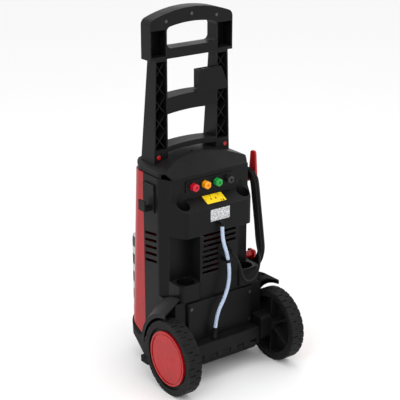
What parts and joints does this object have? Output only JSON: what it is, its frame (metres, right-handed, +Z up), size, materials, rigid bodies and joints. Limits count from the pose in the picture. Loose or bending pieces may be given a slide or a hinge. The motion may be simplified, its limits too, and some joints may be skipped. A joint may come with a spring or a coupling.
{
  "type": "pressure washer",
  "caption": "Upright electric pressure washer on two wheels, with a detachable handle, spray nozzle rack, lance holsters, cable hooks and a detergent hose.",
  "frame": {"origin": "on the floor, under the middle of the machine", "axes": "+Z up, +Y to the rear (wheels, nozzle rack, holsters), +X to the side with the hose hook"},
  "size_m": [0.379, 0.39, 0.963],
  "materials": {
    "tyre_rubber": "moulded tread, matt",
    "rim_plastic": "fine grain",
    "red_gloss": "smooth moulded red",
    "housing_black": "fine spark-eroded grain",
    "handle_black": "fine grain with a satin sheen",
    "grille_grey": "satin light grey",
    "grille_black": "matt",
    "steel": "zinc plated",
    "foot_rubber": "matt",
    "brass": "machined",
    "nozzle_red": "moulded",
    "nozzle_yellow": "moulded",
    "nozzle_green": "moulded",
    "nozzle_black": "moulded",
    "label_yellow": "printed film",
    "label_white": "printed film",
    "cord_black": "matt jacket",
    "hose_clear": "clear braided",
    "motor_metal": "cast",
    "motor_steel": "laminated",
    "valve_black": "moulded"
  },
  "bodies": {
    "chassis": {"axle": "steel", "axle_brackets": "housing_black", "axle_retainers": "steel", "base_tray": "housing_black", "cord_gland": "valve_black", "cover_screws": "steel", "detergent_hose": "hose_clear", "fenders": "housing_black", "front_feet": "foot_rubber", "front_shell": "red_gloss", "grille_insert": "grille_black", "grille_surround": "grille_grey", "hose_clip": "valve_black", "hose_elbow": "valve_black", "lance_cups": "housing_black", "lower_cable_hook": "red_gloss", "lower_rear_cover": "housing_black", "motor_housing": "motor_metal", "nozzle_rack": "housing_black", "plug": "cord_black", "power_coil": "cord_black", "power_lead": "cord_black", "pressure_switch": "valve_black", "pump_head": "motor_metal", "pump_housing": "motor_metal", "pump_pistons": "steel", "rating_label": "label_white", "rear_shell": "housing_black", "side_hook": "housing_black", "stator": "motor_steel", "strainer": "valve_black", "switch_bezel": "valve_black", "switch_block": "valve_black", "top_cap": "housing_black", "warning_label": "label_yellow", "water_inlet": "brass", "water_outlet": "brass"},
    "handle": {"handle_frame": "handle_black", "grip_head": "handle_black", "grip_cover": "handle_black", "grip_screws": "steel", "tool_pocket": "handle_black"},
    "snap_left": {"snap_button_left": "red_gloss"},
    "snap_right": {"snap_button_right": "red_gloss"},
    "wheel_left": {"tyre_left": "tyre_rubber", "rim_left": "rim_plastic", "hub_cap_left": "red_gloss"},
    "wheel_right": {"tyre_right": "tyre_rubber", "rim_right": "rim_plastic", "hub_cap_right": "red_gloss"},
    "upper_hook": {"cable_hook": "red_gloss"},
    "switch": {"switch_knob": "valve_black"},
    "rotor": {"motor_shaft": "steel", "rotor_core": "motor_steel", "cooling_fan": "valve_black", "wobble_plate": "motor_metal"},
    "nozzle_red_body": {"nozzle_red": "nozzle_red"},
    "nozzle_yellow_body": {"nozzle_yellow": "nozzle_yellow"},
    "nozzle_green_body": {"nozzle_green": "nozzle_green"},
    "nozzle_black_body": {"nozzle_black": "nozzle_black"}
  },
  "joints": [
    {"name": "handle_lift", "type": "slide", "parent": "chassis", "child": "handle", "axis": [0, 0, 1], "range_m": [0, 0.056]},
    {"name": "snap_left_press", "type": "slide", "parent": "handle", "child": "snap_left", "axis": [0, -1, 0], "range_m": [0, 0.004], "stiffness_N_per_m": 600},
    {"name": "snap_right_press", "type": "slide", "parent": "handle", "child": "snap_right", "axis": [0, -1, 0], "range_m": [0, 0.004], "stiffness_N_per_m": 600},
    {"name": "wheel_left_spin", "type": "hinge", "parent": "chassis", "child": "wheel_left", "pos_m": [0.169, 0.095, 0.1], "axis": [1, 0, 0], "continuous": true},
    {"name": "wheel_right_spin", "type": "hinge", "parent": "chassis", "child": "wheel_right", "pos_m": [-0.169, 0.095, 0.1], "axis": [1, 0, 0], "continuous": true},
    {"name": "upper_hook_turn", "type": "hinge", "parent": "chassis", "child": "upper_hook", "pos_m": [-0.15, -0.016, 0.49], "axis": [1, 0, 0], "range_deg": [0, 180]},
    {"name": "switch_turn", "type": "hinge", "parent": "chassis", "child": "switch", "pos_m": [0, -0.15, 0.492], "axis": [0, 1, 0], "range_deg": [0, 90]},
    {"name": "rotor_spin", "type": "hinge", "parent": "chassis", "child": "rotor", "pos_m": [0, -0.078, 0.2], "axis": [0, 0, 1], "continuous": true},
    {"name": "nozzle_red_pull", "type": "slide", "parent": "chassis", "child": "nozzle_red_body", "axis": [0, 1, 0], "range_m": [0, 0.022]},
    {"name": "nozzle_yellow_pull", "type": "slide", "parent": "chassis", "child": "nozzle_yellow_body", "axis": [0, 1, 0], "range_m": [0, 0.022]},
    {"name": "nozzle_green_pull", "type": "slide", "parent": "chassis", "child": "nozzle_green_body", "axis": [0, 1, 0], "range_m": [0, 0.022]},
    {"name": "nozzle_black_pull", "type": "slide", "parent": "chassis", "child": "nozzle_black_body", "axis": [0, 1, 0], "range_m": [0, 0.022]}
  ]
}
